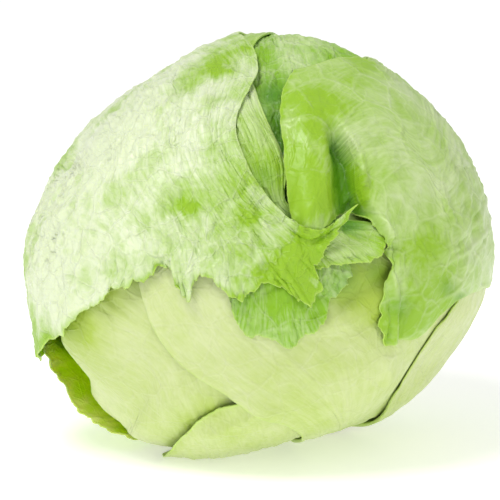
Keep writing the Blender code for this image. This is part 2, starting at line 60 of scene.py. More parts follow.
def leaf_tissue():
    """The look of leaf blade: colour, roughness and height, pale round the veins and greener between them."""
    tree = bpy.data.node_groups.new("leaf_tissue", "ShaderNodeTree")
    face = tree.interface
    for name, kind, start in (
        ("Pale", "NodeSocketColor", (*PALE, 1)),
        ("Green", "NodeSocketColor", (*FRESH, 1)),
        ("Shade green", "NodeSocketColor", (*SHADE_GREEN, 1)),
        ("Greenness", "NodeSocketFloat", 0.3),
        ("Vein light", "NodeSocketFloat", 0.5),
        ("Mesh size", "NodeSocketFloat", 110.0),
        ("Streaks", "NodeSocketFloat", 0.4),
        ("Mottling", "NodeSocketFloat", 0.4),
    ):
        face.new_socket(name, in_out="INPUT", socket_type=kind).default_value = start
    face.new_socket("Colour", in_out="OUTPUT", socket_type="NodeSocketColor")
    face.new_socket("Roughness", in_out="OUTPUT", socket_type="NodeSocketFloat")
    face.new_socket("Height", in_out="OUTPUT", socket_type="NodeSocketFloat")
    nodes, links = tree.nodes, tree.links
    given = nodes.new("NodeGroupInput")
    out = nodes.new("NodeGroupOutput")

    def math_node(kind, a, b=0.0, clamp=False):
        node = nodes.new("ShaderNodeMath")
        node.operation = kind
        node.use_clamp = clamp
        for socket, value in zip(node.inputs, (a, b)):
            if isinstance(value, (int, float)):
                socket.default_value = value
            else:
                links.new(value, socket)
        return node.outputs[0]

    def blend_colour(share, a, b):
        node = nodes.new("ShaderNodeMix")
        node.data_type = "RGBA"
        links.new(share, node.inputs["Factor"])
        for socket, value in ((node.inputs[6], a), (node.inputs[7], b)):
            if isinstance(value, tuple):
                socket.default_value = value
            else:
                links.new(value, socket)
        return node.outputs[2]

    def mask(name):
        node = nodes.new("ShaderNodeAttribute")
        node.attribute_name = name
        return node.outputs["Fac"]

    def map_range(value, low, high, to_low=0.0, to_high=1.0):
        node = nodes.new("ShaderNodeMapRange")
        node.interpolation_type = "SMOOTHSTEP"
        links.new(value, node.inputs["Value"])
        for socket, number in zip(node.inputs[1:5], (low, high, to_low, to_high)):
            socket.default_value = number
        return node.outputs["Result"]

    place = nodes.new("ShaderNodeTexCoord")
    bend = nodes.new("ShaderNodeTexNoise")
    bend.inputs["Scale"].default_value = 45
    bend.inputs["Detail"].default_value = 3
    links.new(place.outputs["Object"], bend.inputs["Vector"])
    shift = nodes.new("ShaderNodeVectorMath")
    shift.operation = "MULTIPLY_ADD"
    links.new(bend.outputs["Color"], shift.inputs[0])
    shift.inputs[1].default_value = (0.012, 0.012, 0.012)
    links.new(place.outputs["Object"], shift.inputs[2])

    def cells(scale, width):
        node = nodes.new("ShaderNodeTexVoronoi")
        node.feature = "DISTANCE_TO_EDGE"
        links.new(shift.outputs[0], node.inputs["Vector"])
        links.new(scale, node.inputs["Scale"])
        return map_range(node.outputs["Distance"], 0.0, width, 1.0, 0.0)

    wide = cells(given.outputs["Mesh size"], WIDE_VEIN)
    fine = cells(math_node("MULTIPLY", given.outputs["Mesh size"], FINE_TO_WIDE), FINE_VEIN)
    streaks = nodes.new("ShaderNodeTexNoise")
    streaks.inputs["Distortion"].default_value = 1.1
    streaks.inputs["Scale"].default_value = 1.0
    streaks.inputs["Detail"].default_value = 4
    stretch = nodes.new("ShaderNodeMapping")
    stretch.inputs["Scale"].default_value = (46, 15, 1)
    links.new(place.outputs["UV"], stretch.inputs["Vector"])
    links.new(stretch.outputs[0], streaks.inputs["Vector"])
    patches = nodes.new("ShaderNodeTexNoise")
    patches.inputs["Scale"].default_value = 38
    patches.inputs["Detail"].default_value = 5
    patches.inputs["Roughness"].default_value = 0.6
    links.new(place.outputs["Object"], patches.inputs["Vector"])

    vein = mask("vein")
    margin = mask("margin")
    # greener or paler places: the leaf's own tone, and painted shade under leaves that lie over it
    tone_and_shade = mask("tone_and_shade")
    patch = map_range(patches.outputs["Fac"], 0.35, 0.68)
    streak = map_range(streaks.outputs["Fac"], 0.36, 0.66)
    green = math_node("ADD", given.outputs["Greenness"], tone_and_shade)
    mottle = math_node("MULTIPLY", math_node("SUBTRACT", patch, 0.5), given.outputs["Mottling"])
    green = math_node("ADD", green, mottle)
    lined = math_node("MULTIPLY", math_node("SUBTRACT", streak, 0.5), given.outputs["Streaks"])
    green = math_node("ADD", green, math_node("MULTIPLY", lined, 0.45))
    light = math_node("MAXIMUM", wide, math_node("MULTIPLY", fine, 0.45))
    light = math_node("MAXIMUM", light, vein)
    light = math_node("MULTIPLY", light, given.outputs["Vein light"])
    green = math_node("SUBTRACT", green, math_node("MULTIPLY", light, 0.55), clamp=True)
    base = blend_colour(green, given.outputs["Pale"], given.outputs["Green"])
    # painted shade: the depth mask takes the colour to the shade green in hollows and under other leaves
    base = blend_colour(mask("depth"), base, given.outputs["Shade green"])
    base = blend_colour(math_node("MULTIPLY", margin, 0.75), base, (*RIM, 1))
    links.new(base, out.inputs["Colour"])
    links.new(map_range(patches.outputs["Fac"], 0.3, 0.7, 0.28, 0.46), out.inputs["Roughness"])
    height = math_node("MULTIPLY", wide, 0.5)
    height = math_node("ADD", height, math_node("MULTIPLY", fine, 0.25))
    height = math_node("ADD", height, math_node("MULTIPLY", streaks.outputs["Fac"], given.outputs["Streaks"]))
    height = math_node("ADD", height, math_node("MULTIPLY", patches.outputs["Fac"], 1.6))
    links.new(height, out.inputs["Height"])
    return tree


tissue = leaf_tissue()


def leaf_finish(name, greenness, vein_light, mesh_size=110.0, bump=0.5, glow=0.2, pale=PALE, fresh=FRESH,
                streaks=0.4, mottling=0.4):
    """A waxy, slightly see-through blade with the leaf tissue on it."""
    material = bpy.data.materials.new(name)
    material.use_nodes = True
    nodes, links = material.node_tree.nodes, material.node_tree.links
    shader = nodes["Principled BSDF"]
    group = nodes.new("ShaderNodeGroup")
    group.node_tree = tissue
    group.inputs["Pale"].default_value = (*pale, 1)
    group.inputs["Green"].default_value = (*fresh, 1)
    group.inputs["Shade green"].default_value = (*SHADE_GREEN, 1)
    group.inputs["Greenness"].default_value = greenness
    group.inputs["Vein light"].default_value = vein_light
    group.inputs["Mesh size"].default_value = mesh_size
    group.inputs["Streaks"].default_value = streaks
    group.inputs["Mottling"].default_value = mottling
    relief = nodes.new("ShaderNodeBump")
    relief.inputs["Strength"].default_value = bump
    relief.inputs["Distance"].default_value = RELIEF_DEPTH
    links.new(group.outputs["Colour"], shader.inputs["Base Color"])
    links.new(group.outputs["Roughness"], shader.inputs["Roughness"])
    links.new(group.outputs["Height"], relief.inputs["Height"])
    links.new(relief.outputs[0], shader.inputs["Normal"])
    shader.inputs["Subsurface Weight"].default_value = glow
    shader.inputs["Subsurface Radius"].default_value = GLOW_REACH
    shader.inputs["Subsurface Scale"].default_value = GLOW_DEPTH
    shader.inputs["Specular IOR Level"].default_value = WAX_SHINE
    return material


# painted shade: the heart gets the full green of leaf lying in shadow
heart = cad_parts["heart_leaves"]
heart.data.materials[0] = leaf_finish("heart_finish", 1.0, 0.3)

# The stem: a short pale butt, cut off level so that the head can stand on it. The leaves grow round it.
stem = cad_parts["stem_butt"]
stem_cut = bpy.data.materials.new("stem_cut_finish")
stem_cut.use_nodes = True
stem_shader = stem_cut.node_tree.nodes["Principled BSDF"]
stem_shader.inputs["Roughness"].default_value = 0.55
stem_shader.inputs["Subsurface Weight"].default_value = 0.2
stem_shader.inputs["Subsurface Scale"].default_value = 0.003
pith = stem_cut.node_tree.nodes.new("ShaderNodeTexNoise")
pith.inputs["Scale"].default_value = 260
pith.inputs["Detail"].default_value = 4
browning = stem_cut.node_tree.nodes.new("ShaderNodeValToRGB")
browning.color_ramp.elements[0].position = 0.35
browning.color_ramp.elements[0].color = (0.55, 0.42, 0.22, 1)
browning.color_ramp.elements[1].position = 0.55
browning.color_ramp.elements[1].color = (0.78, 0.76, 0.55, 1)
stem_place = stem_cut.node_tree.nodes.new("ShaderNodeTexCoord")
stem_cut.node_tree.links.new(stem_place.outputs["Object"], pith.inputs["Vector"])
stem_cut.node_tree.links.new(pith.outputs["Fac"], browning.inputs["Fac"])
stem_cut.node_tree.links.new(browning.outputs["Color"], stem_shader.inputs["Base Color"])
stem.data.materials[0] = stem_cut

# The leaf scars: low ridges round the stem where its outermost leaves were broken off. They are of the same
# pale flesh as the stem, and each one stands a leaf's turn further round it and a little higher.
SCARS = 17
SCAR_RING = 0.0151
SCAR_LOWEST, SCAR_HIGHEST = 0.0032, 0.0088
SCAR_HALF = (0.0006, 0.0026, 0.0007)
SCAR_SMALLEST, SCAR_LARGEST = 0.75, 1.2
LEAF_TURN = math.radians(137.5)
STEM_X, STEM_Y = 0.020, 0.025


def scar_tree():
    """Low rounded ridges on a rising spiral, each turned to face outwards."""
    tree = bpy.data.node_groups.new("leaf_scars", "GeometryNodeTree")
    for name, kind in (
        ("Count", "NodeSocketInt"),
        ("Ring radius", "NodeSocketFloat"),
        ("Lowest", "NodeSocketFloat"),
        ("Highest", "NodeSocketFloat"),
        ("Turn", "NodeSocketFloat"),
        ("Half size", "NodeSocketVector"),
        ("Middle", "NodeSocketVector"),
        ("Seed", "NodeSocketInt"),
        ("Finish", "NodeSocketMaterial"),
    ):
        tree.interface.new_socket(name, in_out="INPUT", socket_type=kind)
    tree.interface.new_socket("Geometry", in_out="OUTPUT", socket_type="NodeSocketGeometry")
    nodes, links = tree.nodes, tree.links
    given = nodes.new("NodeGroupInput").outputs

    def number(kind, *values):
        node = nodes.new("ShaderNodeMath")
        node.operation = kind
        for socket, value in zip(node.inputs, values):
            links.new(value, socket)
        return node.outputs[0]

    row = nodes.new("GeometryNodeMeshLine")
    links.new(given["Count"], row.inputs["Count"])
    index = nodes.new("GeometryNodeInputIndex").outputs[0]
    angle = number("MULTIPLY", index, given["Turn"])
    rise = number("DIVIDE", index, given["Count"])
    climb = number("SUBTRACT", given["Highest"], given["Lowest"])
    height = number("ADD", given["Lowest"], number("MULTIPLY", rise, climb))
    spot = nodes.new("ShaderNodeCombineXYZ")
    links.new(number("MULTIPLY", number("COSINE", angle), given["Ring radius"]), spot.inputs[0])
    links.new(number("MULTIPLY", number("SINE", angle), given["Ring radius"]), spot.inputs[1])
    links.new(height, spot.inputs[2])
    placed = nodes.new("GeometryNodeSetPosition")
    links.new(row.outputs["Mesh"], placed.inputs["Geometry"])
    links.new(spot.outputs[0], placed.inputs["Position"])
    ridge = nodes.new("GeometryNodeMeshUVSphere")
    ridge.inputs["Segments"].default_value = 14
    ridge.inputs["Rings"].default_value = 8
    ridge.inputs["Radius"].default_value = 1.0
    facing = nodes.new("ShaderNodeCombineXYZ")
    links.new(angle, facing.inputs[2])
    turned = nodes.new("FunctionNodeEulerToRotation")
    links.new(facing.outputs[0], turned.inputs[0])
    size = nodes.new("FunctionNodeRandomValue")
    size.data_type = "FLOAT"
    size.inputs[2].default_value = SCAR_SMALLEST
    size.inputs[3].default_value = SCAR_LARGEST
    links.new(given["Seed"], size.inputs["Seed"])
    scale = nodes.new("ShaderNodeVectorMath")
    scale.operation = "SCALE"
    links.new(given["Half size"], scale.inputs[0])
    links.new(size.outputs[1], scale.inputs["Scale"])
    copies = nodes.new("GeometryNodeInstanceOnPoints")
    links.new(placed.outputs[0], copies.inputs["Points"])
    links.new(ridge.outputs["Mesh"], copies.inputs["Instance"])
    links.new(turned.outputs[0], copies.inputs["Rotation"])
    links.new(scale.outputs[0], copies.inputs["Scale"])
    moved = nodes.new("GeometryNodeTransform")
    links.new(copies.outputs[0], moved.inputs["Geometry"])
    links.new(given["Middle"], moved.inputs["Translation"])
    real = nodes.new("GeometryNodeRealizeInstances")
    links.new(moved.outputs[0], real.inputs[0])
    coated = nodes.new("GeometryNodeSetMaterial")
    links.new(real.outputs[0], coated.inputs["Geometry"])
    links.new(given["Finish"], coated.inputs["Material"])
    links.new(coated.outputs[0], nodes.new("NodeGroupOutput").inputs[0])
    return tree


scars = bpy.data.objects.new("leaf_scars", bpy.data.meshes.new("leaf_scars"))
bpy.context.scene.collection.objects.link(scars)
scar_maker = scars.modifiers.new("scars", "NODES")
scar_maker.node_group = scar_tree()
scar_sizes = {
    "Count": SCARS,
    "Ring radius": SCAR_RING,
    "Lowest": SCAR_LOWEST,
    "Highest": SCAR_HIGHEST,
    "Turn": LEAF_TURN,
    "Half size": SCAR_HALF,
    "Middle": (STEM_X, STEM_Y, 0.0),
    "Seed": 3,
    "Finish": stem_cut,
}
for socket in scar_maker.node_group.interface.items_tree:
    if socket.in_out == "INPUT":
        scar_maker[socket.identifier] = scar_sizes[socket.name]
scar_mesh = bpy.data.meshes.new_from_object(scars.evaluated_get(bpy.context.evaluated_depsgraph_get()))
scars.modifiers.clear()
scars.data = scar_mesh
scar_mesh.shade_smooth()
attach(scars, "root")

# The left leaf: a pale wrapper leaf that comes from the stem under the head and cups its lower left. It is
# one thin waxy blade, smooth, with a fan of soft veins, and its margin is tucked under the leaves above.
MM = 0.001
HEAD_WIDTH, HEAD_DEPTH, HEAD_HEIGHT = 0.168, 0.160, 0.149
SETTLE = 0.0042
FLOOR_LEVEL = 0.0020
LEAF_RING = 0.0168
LAY_GAP = 0.0004
BEYOND = 0.12
RIB_THICK = 0.0016
EDGE_THICK = 0.0005
FLOOR_SOFTNESS = 1.5
CROWDING = 0.06
GREEN_BAND = 5.0
SIDE_RIM = 0.8
VEIN_STEP = 0.02
VIEW_ELEVATION = math.radians(12)
VIEW_DISTANCE = 1.6
HALF = np.array([HEAD_WIDTH, HEAD_DEPTH, HEAD_HEIGHT]) / 2
CENTRE = np.array([0.0, 0.0, HEAD_HEIGHT / 2 - SETTLE])
ACROSS = np.array([1.0, 0.0, 0.0])
UP = np.array([0.0, math.sin(VIEW_ELEVATION), math.cos(VIEW_ELEVATION)])
AWAY = np.array([0.0, math.cos(VIEW_ELEVATION), -math.sin(VIEW_ELEVATION)])


def front(across, up, lift):
    """A place on the head by mm across and up, as seen from the front, lift mm off the skin."""
    seen = ACROSS * across * MM + UP * up * MM
    eye = -AWAY * VIEW_DISTANCE
    ray = (seen - eye) / HALF
    start = eye / HALF
    square, half_linear, rest = ray @ ray, ray @ start, start @ start - 1
    inside = max(half_linear**2 - square * rest, 0.0)
    hit = start + ray * (-half_linear - math.sqrt(inside)) / square
    return np.append(hit / np.linalg.norm(hit), lift * MM)


def around(bearing, elevation, lift):
    """A place on the head by its bearing, from the front towards the right, and its height angle."""
    a, e = math.radians(bearing), math.radians(elevation)
    return np.array([math.sin(a) * math.cos(e), -math.cos(a) * math.cos(e), math.sin(e), lift * MM])


def under(x, y, lift):
    """A place on the underside of the head, by its position in mm as seen from above."""
    x, y = x * MM / HALF[0], y * MM / HALF[1]
    return np.array([x, y, -math.sqrt(1 - x * x - y * y), lift * MM])


def ring(bearing, lift):
    """A place on the circle round the stem."""
    a = math.radians(bearing)
    grow = MM * (1 + lift * MM / CENTRE[2])
    return under((STEM_X + LEAF_RING * math.sin(a)) / grow, (STEM_Y - LEAF_RING * math.cos(a)) / grow, lift)


SWELLS = (
    (front(-76, 29, 0), -0.085, 22),
    (front(-48, 62, 0), -0.070, 25),
    (front(26, 73, 0), 0.038, 20),
    (front(80, 20, 0), -0.020, 16),
    (front(-55, -55, 0), 0.050, 20),
    (front(-32, -72, 0), 0.025, 14),
    (front(14, -74, 0), -0.065, 18),
    (front(43, -64, 0), -0.030, 14),
    (front(66, -44, 0), -0.085, 17),
)


def skin(places):
    """Positions on the outer skin of the head, for directions with a lift in metres."""
    aim = places[..., :3] / np.linalg.norm(places[..., :3], axis=-1, keepdims=True)
    swell = 1.0
    for spot, share, spread in SWELLS:
        angle = np.arccos(np.clip(aim @ spot[:3], -1, 1))
        swell = swell + share * np.exp(-((angle / math.radians(spread)) ** 2))
    out = aim * HALF * np.asarray(swell)[..., None]
    soft = FLOOR_SOFTNESS * MM
    over_floor = out[..., 2] + CENTRE[2] - FLOOR_LEVEL
    pressed = FLOOR_LEVEL - CENTRE[2] + soft * np.logaddexp(0, over_floor / soft)
    shrink = np.where(over_floor < 8 * MM, pressed / np.minimum(out[..., 2], -MM), 1.0)
    out = out * shrink[..., None]
    radius = np.linalg.norm(out, axis=-1, keepdims=True)
    return CENTRE + out * (1 + places[..., 3:] / radius)


def spline(knots, at):
    """The smooth curve through the knots, for at from 0 to 1."""
    before, after = 2 * knots[:1] - knots[1:2], 2 * knots[-1:] - knots[-2:-1]
    line = np.concatenate([before, knots, after])
    place = np.clip(at, 0, 1) * (len(knots) - 1)
    start = np.minimum(place.astype(int), len(knots) - 2)
    share = (place - start).reshape((-1,) + (1,) * (knots.ndim - 1))
    p0, p1, p2, p3 = (line[start + k] for k in range(4))
    return 0.5 * (
        2 * p1
        + (p2 - p0) * share
        + (2 * p0 - 5 * p1 + 4 * p2 - p3) * share**2
        + (3 * p1 - p0 - 3 * p2 + p3) * share**3
    )


def ramp(value, low, high):
    """0 below low, 1 above high, and a smooth step between."""
    share = np.clip((value - low) / (high - low), 0, 1)
    return share * share * (3 - 2 * share)


def crease(positions, start, end, width, depth):
    """How far a fold raises each position: a groove where depth is below 0, a pleat where it is above."""
    a, b = skin(start[None])[0], skin(end[None])[0]
    along = np.clip((positions - a) @ (b - a) / ((b - a) @ (b - a)), 0, 1)
    off = np.linalg.norm(positions - (a + along[..., None] * (b - a)), axis=-1)
    return depth * MM * ramp(along, -0.1, 0.3) * np.exp(-((off / (width * MM)) ** 2))


def pocket(positions, ups, lefts, rights, depth):
    """How far a deep fold sinks each position, seen from the front: it slopes in from the left line, and its
    right line is a sharp lip. All in mm, from the top down."""
    seen = positions - CENTRE
    across, up = seen @ ACROSS / MM, seen @ UP / MM
    left, right = np.interp(-up, ups, lefts), np.interp(-up, ups, rights)
    share = (across - left) / (right - left)
    hollow = ramp(share, -0.25, 0.65) * (1 - ramp(share, 0.86, 1.04))
    return -depth * MM * hollow * ramp(-up, ups[0], ups[0] + 12) * ramp(-(seen @ AWAY), 0, 0.01)


def waver(points, scale, seed):
    """Soft noise from -1 to 1 at each point, with a wave of about 1 / scale."""
    flat = points.reshape(-1, 3) * scale
    values = [noise.noise(Vector((x + seed * 7.3, y - seed * 3.1, z + seed))) for x, y, z in flat]
    return np.array(values).reshape(points.shape[:-1])


def crumple(chart, spacing, shape, seed):
    """Crumpled relief, mostly from -1 to 1: sharp ridges that fork, drawn out by the shape of the chart."""
    line = chart / spacing * 0.6 * np.array(shape)
    flat = np.zeros(line.shape[:-1])
    bend = np.stack([waver(line, 0.45, seed + 11), waver(line, 0.45, seed + 12), flat], axis=-1)
    line = line + 1.6 * bend
    broad, fine = np.abs(waver(line, 1.0, seed + 13)), np.abs(waver(line, 2.1, seed + 14))
    return 0.75 - 2.2 * broad - fine


def smooth(grid, times):
    """A grid of values averaged with its neighbours."""
    for _ in range(times):
        edged = np.pad(grid, 1, mode="edge")
        grid = (edged[:-2, 1:-1] + edged[2:, 1:-1] + edged[1:-1, :-2] + edged[1:-1, 2:] + 4 * grid) / 8
    return grid


def widen(grid, times):
    """A grid in which each value is the largest of its neighbourhood."""
    for _ in range(times):
        edged = np.pad(grid, 1, mode="edge")
        grid = np.maximum.reduce([grid, edged[:-2, 1:-1], edged[2:, 1:-1], edged[1:-1, :-2], edged[1:-1, 2:]])
    return grid


def normals_of(points):
    """The direction square to a sheet at each of its points, away from the middle of the head."""
    along = np.gradient(points, axis=0)
    across = np.gradient(points, axis=1)
    square = np.cross(along, across)
    square = square / np.maximum(np.linalg.norm(square, axis=-1, keepdims=True), 1e-12)
    facing = np.sum(square * (points - CENTRE), axis=-1)
    return square if facing.sum() > 0 else -square


heart_mesh = heart.data
laid = [BVHTree.FromPolygons([p.co for p in heart_mesh.vertices], [f.vertices for f in heart_mesh.polygons])]


def lie_over(points):
    """The sheet moved out from the middle of the head, so that it clears every leaf laid before it."""
    out = points - CENTRE
    radius = np.linalg.norm(out, axis=-1)
    aims = out / radius[..., None]
    middle = Vector(CENTRE)
    need = np.zeros(radius.size)
    for index, aim in enumerate(aims.reshape(-1, 3)):
        aim = Vector(aim)
        for tree in laid:
            hit = tree.ray_cast(middle + aim * BEYOND, -aim, BEYOND)[0]
            if hit is not None:
                need[index] = max(need[index], (hit - middle).length)
    push = np.maximum(need.reshape(radius.shape) + LAY_GAP - radius, 0)
    push = np.maximum(push, smooth(widen(push, 3), 4))
    return CENTRE + aims * (radius + push)[..., None]


def vein_fan(seed, first, forks, wander):
    """Vein lines as lists of (u, v): they leave the base together, wander up the blade and fork."""
    draw = random.Random(seed)
    lines = []
    growing = [(0.5 + 0.9 * (k + 0.5 - first / 2) / first, 0.02, 0) for k in range(first)]
    while growing:
        u, v, order = growing.pop()
        line = [(u, v)]
        drift = draw.uniform(-wander, wander)
        while v < 0.985 and 0.01 < u < 0.99:
            v += VEIN_STEP
            drift = drift * 0.8 + draw.uniform(-wander, wander) * 0.35
            u += drift * VEIN_STEP
            line.append((u, v))
            if order < forks and draw.random() < 0.06 + 0.05 * order:
                side = draw.choice((-1, 1))
                growing.append((u + side * 0.004, v, order + 1))
                drift += -side * wander * 0.6
        lines.append((order, line))
    return lines


def grow_leaf(name, rows, across, along, creases=(), pockets=(), frill=(8, 0.8, 0.86), teeth=(40, 0.8),
              wrinkle=(0.35, 6, 3), pucker=(0.3, 90), veins=(7, 2, 0.9), spots=(), shades=(), rib=0.6,
              rim_green=0.25, rim_wide=0.9, shade_from=3.0, upright=False, seed=1):
    """One leaf blade. Each row is a line across it, from the stem to the margin, and the rest is its relief.

    frill: waves, height in mm and where they start. teeth: how many and how deep in mm. wrinkle: height and
    spacing in mm, and how much longer than wide. pucker: height in mm and fineness. veins: at the base, forks
    and wander. spots: greener or paler places as mm across and up from the front, the size in mm and the
    amount; some are the leaf's own tone and some are painted shade under the leaves that lie over it.
    shades: painted shade, deep green in hollows and under other leaves, given the same way. rim_green: how
    much greener the margin is, and rim_wide: how wide its bright edge is in mm. upright: its wrinkles run up
    the head, not up the blade.
    """
    u = np.linspace(0, 1, across + 1)
    v = np.linspace(0, 1, along + 1)
    v = v + CROWDING * np.sin(math.pi * v) * v
    cage = np.stack([spline(np.array(row), u) for row in rows])
    places = spline(cage, v)
    grid_v, grid_u = np.meshgrid(v, u, indexing="ij")
    flat = skin(places * np.array([1, 1, 1, 0]))
    for start, end, width, depth in creases:
        places[..., 3] += crease(flat, start, end, width, depth)
    for ups, lefts, rights, depth in pockets:
        places[..., 3] += pocket(flat, ups, lefts, rights, depth)
    uv = np.stack([grid_u, grid_v, np.zeros_like(grid_u)], axis=-1)
    length_scale = np.linalg.norm(np.gradient(flat, axis=0), axis=-1).sum(axis=0).mean()
    width_scale = np.linalg.norm(np.gradient(flat, axis=1), axis=-1).sum(axis=1)
    waves, height, begin = frill
    swing = waver(uv * np.array([1, 0.15, 1]), waves, seed)
    swing = swing + 0.5 * waver(uv * np.array([1, 0.2, 1]), waves * 2.3, seed + 5)
    places[..., 3] += height * MM * 1.6 * swing * ramp(grid_v, begin, 1.0)
    tall, spacing, stretch = wrinkle
    chart, shape = uv * np.array([width_scale.max(), length_scale, 0]), (1, 1 / stretch, 1)
    if upright:
        chart, shape = flat - CENTRE, (1, 1, 1 / stretch)
    loose = np.clip(0.75 + 1.1 * waver(flat, 30, seed + 7), 0.2, 1.3)
    places[..., 3] += tall * MM * crumple(chart, spacing * MM, shape, seed) * loose * ramp(grid_v, 0.05, 0.35)
    bumps = waver(flat, pucker[1], seed + 4) + 0.5 * waver(flat, pucker[1] * 2.1, seed + 6)
    places[..., 3] += pucker[0] * MM * bumps * ramp(grid_v, 0.1, 0.4)

    # veins: their distance to each point of the blade gives a low ridge, and a mask for their colour
    vein = np.zeros_like(grid_u)
    for order, line in vein_fan(seed, *veins):
        line_u = np.interp(v, [q for _, q in line], [p for p, _ in line], left=-9, right=-9)
        off = np.abs(grid_u - line_u[:, None]) * width_scale[:, None]
        size = (1.5 - 0.35 * order) * MM * (1.15 - 0.75 * grid_v)
        vein = np.maximum(vein, np.exp(-((off / size) ** 2)) * (1 - 0.22 * order))
    places[..., 3] += rib * MM * vein * (1.1 - 0.8 * grid_v)

    points = lie_over(skin(places))
    edge_way = points[-1] - points[-3]
    edge_way = edge_way / np.maximum(np.linalg.norm(edge_way, axis=-1, keepdims=True), 1e-9)
    count, depth = teeth
    line = np.stack([u * count, np.full_like(u, seed * 1.7), np.zeros_like(u)], axis=-1)
    tooth = depth * MM * (waver(line, 1.0, seed) + 0.6 * waver(line, 2.6, seed + 9))
    points = points + edge_way[None] * (tooth[None] * ramp(grid_v, 0.93, 1.0))[..., None]
    thick = EDGE_THICK + (RIB_THICK - EDGE_THICK) * (1 - ramp(grid_v, 0.0, 0.6))
    points[..., 2] = np.maximum(points[..., 2], thick + 0.00005)

    # colour: the greener and paler places, painted shade in the hollows and the margin, each a mask for the
    # finish
    seen = points - CENTRE
    facing = ramp(-(seen @ AWAY), -0.02, 0.01)

    def mark(across_mm, up_mm, size):
        off = (seen @ ACROSS / MM - across_mm) ** 2 + (seen @ UP / MM - up_mm) ** 2
        return np.exp(-off / size**2) * facing

    # greener or paler places: the leaf's own tone, and painted shade where other leaves lie over it
    tone_and_shade = np.zeros_like(grid_u)
    for across_mm, up_mm, size, amount in spots:
        tone_and_shade += amount * mark(across_mm, up_mm, size)
    over = (np.linalg.norm(seen, axis=-1) - np.linalg.norm(flat - CENTRE, axis=-1)) / MM
    # painted shade: the deeper the sheet lies under the head's skin, the more of the shade green it gets
    depth = 0.85 * ramp(-over, shade_from, shade_from + 5.0) * ramp(seen[..., 2], -0.03, 0.0)
    # shades: painted shade at the listed places
    for across_mm, up_mm, size, amount in shades:
        depth = np.maximum(depth, amount * mark(across_mm, up_mm, size))
    to_side = np.minimum(grid_u, 1 - grid_u) * width_scale[:, None] / MM
    to_end = (1 - grid_v) * length_scale / MM
    tone_and_shade += rim_green * np.exp(-((to_end / GREEN_BAND) ** 2))
    margin = np.maximum(np.exp(-((to_end / rim_wide) ** 2)), 0.5 * np.exp(-((to_side / SIDE_RIM) ** 2)))

    square = normals_of(points)
    last = across + 1
    quads = [
        (i * last + j, i * last + j + 1, (i + 1) * last + j + 1, (i + 1) * last + j)
        for i in range(along) for j in range(across)
    ]
    turn = np.cross(points[1:, :-1] - points[:-1, :-1], points[:-1, 1:] - points[:-1, :-1])
    if np.sum(turn * (points[:-1, :-1] - CENTRE)) > 0:
        quads = [quad[::-1] for quad in quads]
    outer = points + square * thick[..., None]
    laid.append(BVHTree.FromPolygons(outer.reshape(-1, 3).tolist(), quads))

    mesh = bpy.data.meshes.new(name)
    mesh.from_pydata(points.reshape(-1, 3).tolist(), [], quads)
    for mask_name, values in (("vein", vein), ("tone_and_shade", tone_and_shade), ("margin", margin), ("depth", depth)):
        layer = mesh.attributes.new(mask_name, "FLOAT", "POINT")
        layer.data.foreach_set("value", values.ravel().astype(np.float32))
    corners = np.zeros(len(mesh.loops), np.int32)
    mesh.loops.foreach_get("vertex_index", corners)
    chart = np.stack([grid_u.ravel(), grid_v.ravel()], axis=-1)[corners]
    mesh.uv_layers.new(name="blade").data.foreach_set("uv", chart.ravel().astype(np.float32))
    blade = bpy.data.objects.new(name, mesh)
    bpy.context.scene.collection.objects.link(blade)
    by_rib = blade.vertex_groups.new(name="rib")
    thinnest = EDGE_THICK / RIB_THICK
    for index, share in enumerate((thick / RIB_THICK).ravel()):
        by_rib.add([index], float((share - thinnest) / (1 - thinnest)), "REPLACE")
    shell = blade.modifiers.new("shell", "SOLIDIFY")
    shell.thickness = RIB_THICK
    shell.offset = 1
    shell.vertex_group = by_rib.name
    shell.thickness_vertex_group = thinnest
    finished = bpy.data.meshes.new_from_object(blade.evaluated_get(bpy.context.evaluated_depsgraph_get()))
    blade.modifiers.clear()
    blade.vertex_groups.clear()
    blade.data = finished
    bpy.data.meshes.remove(mesh)
    finished.name = name
    finished.shade_smooth()
    return blade


def fit_leaf(blade, node, finish):
    """The blade gets its finish, stands for its solid and rides with the head."""
    blade.data.materials.clear()
    blade.data.materials.append(finish)
    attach(blade, "root")
    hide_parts(node)


WAX_PALE = (0.67, 0.75, 0.38)
WAX_GREEN = (0.42, 0.57, 0.07)
pale_finish = leaf_finish(
    "pale_blade_finish", 0.36, 0.22, 80, pale=WAX_PALE, fresh=WAX_GREEN, streaks=0.3, mottling=0.35
)
green_finish = leaf_finish("green_blade_finish", 0.95, 0.4, 110)
left_blade = grow_leaf(
    "left_leaf_blade",
    [
        [ring(-10, -8), ring(-40, -8.5), ring(-70, -9), ring(-100, -9.5)],
        [under(14, -6, -7), under(-2, 1, -7), under(-13, 13, -7.5), under(-14, 28, -8.5)],
        [front(6, -58, -5.5), under(-14, -24, -3), under(-28, -6, -3), under(-30, 18, -5)],
        [front(-8, -42, -5), front(-28, -58, -1.5), under(-42, -18, -1), under(-42, 12, -4)],
        [front(-18, -24, -5), front(-38, -40, -2.5), front(-43, -55, -2.5), around(-88, -54, -4)],
        [
            front(-30, -6, -6), front(-50, -12, -4), front(-62, -19, -2), front(-68, -26, -0.5),
            front(-69, -33, -0.5), front(-63.5, -42, -3), front(-59.5, -49, -4), around(-88, -50, -5),
        ],
    ],
    across=110, along=100,
    frill=(4, 0.5, 0.9), teeth=(24, 0.6), wrinkle=(0.35, 6, 5), pucker=(0.2, 60), seed=3,
    # the spots at -24, -61 and -15, -57 are painted shadow under the bottom leaf's edge
    spots=(
        (-62, -27, 9, 0.9), (-48, -18, 8, 0.5), (-24, -61, 6, 0.6), (-15, -57, 6, 0.6), (-50, -58, 12, -0.2),
    ),
)
fit_leaf(left_blade, "left_leaf", pale_finish)
